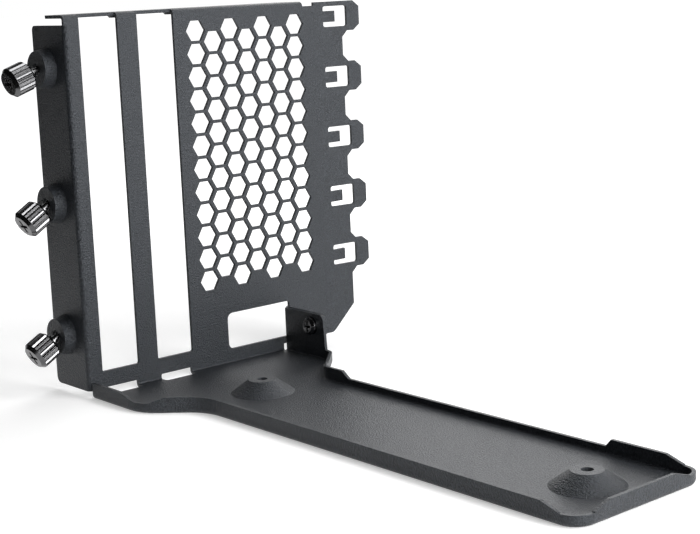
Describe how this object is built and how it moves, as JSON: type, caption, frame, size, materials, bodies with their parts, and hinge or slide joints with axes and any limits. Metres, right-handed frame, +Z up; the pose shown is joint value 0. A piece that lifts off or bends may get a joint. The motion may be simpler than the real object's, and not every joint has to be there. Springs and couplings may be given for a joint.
{
  "type": "vertical graphics card mount",
  "caption": "Folded sheet-steel mount that stands a graphics card upright in a computer case: slotted panel with honeycomb mesh and spring hooks, long shallow tray and captive thumbscrews.",
  "frame": {"origin": "on the ground, under the middle between the two riser cones of the tray", "axes": "+Z is up, +Y runs along the tray toward the upright panel and past it to the flanges, and +X runs along the panel from the side flange to the hooks"},
  "size_m": [0.1279, 0.2024, 0.1165],
  "materials": {
    "powder_coat": "fine textured matt black powder coat",
    "black_plated_steel": "semi-gloss black plating",
    "black_screw": "semi-gloss black plating",
    "washer_steel": "satin black plating"
  },
  "bodies": {
    "frame": {"bracket": "powder_coat", "corner_screw": "black_screw"},
    "washer_top": {"retaining_washer_top": "washer_steel"},
    "screw_top": {"thumbscrew_top": "black_plated_steel"},
    "washer_middle": {"retaining_washer_middle": "washer_steel"},
    "screw_middle": {"thumbscrew_middle": "black_plated_steel"},
    "washer_bottom": {"retaining_washer_bottom": "washer_steel"},
    "screw_bottom": {"thumbscrew_bottom": "black_plated_steel"}
  },
  "joints": [
    {"name": "tilt_top", "type": "hinge", "parent": "frame", "child": "washer_top", "pos_m": [-0.0412, 0.1132, 0.10045], "axis": [0, 1, 0], "range_deg": [-4.5, 41.5]},
    {"name": "spin_top", "type": "hinge", "parent": "washer_top", "child": "screw_top", "pos_m": [-0.0412, 0.1132, 0.10045], "axis": [0.9426, 0, 0.3338], "continuous": true},
    {"name": "tilt_middle", "type": "hinge", "parent": "frame", "child": "washer_middle", "pos_m": [-0.0412, 0.1132, 0.0594], "axis": [0, 1, 0], "range_deg": [0, 60]},
    {"name": "spin_middle", "type": "hinge", "parent": "washer_middle", "child": "screw_middle", "pos_m": [-0.0412, 0.1132, 0.0594], "axis": [0.848, 0, 0.5299], "continuous": true},
    {"name": "tilt_bottom", "type": "hinge", "parent": "frame", "child": "washer_bottom", "pos_m": [-0.0412, 0.1132, 0.01835], "axis": [0, 1, 0], "range_deg": [0, 58]},
    {"name": "spin_bottom", "type": "hinge", "parent": "washer_bottom", "child": "screw_bottom", "pos_m": [-0.0412, 0.1132, 0.01835], "axis": [0.866, 0, 0.5], "continuous": true}
  ]
}
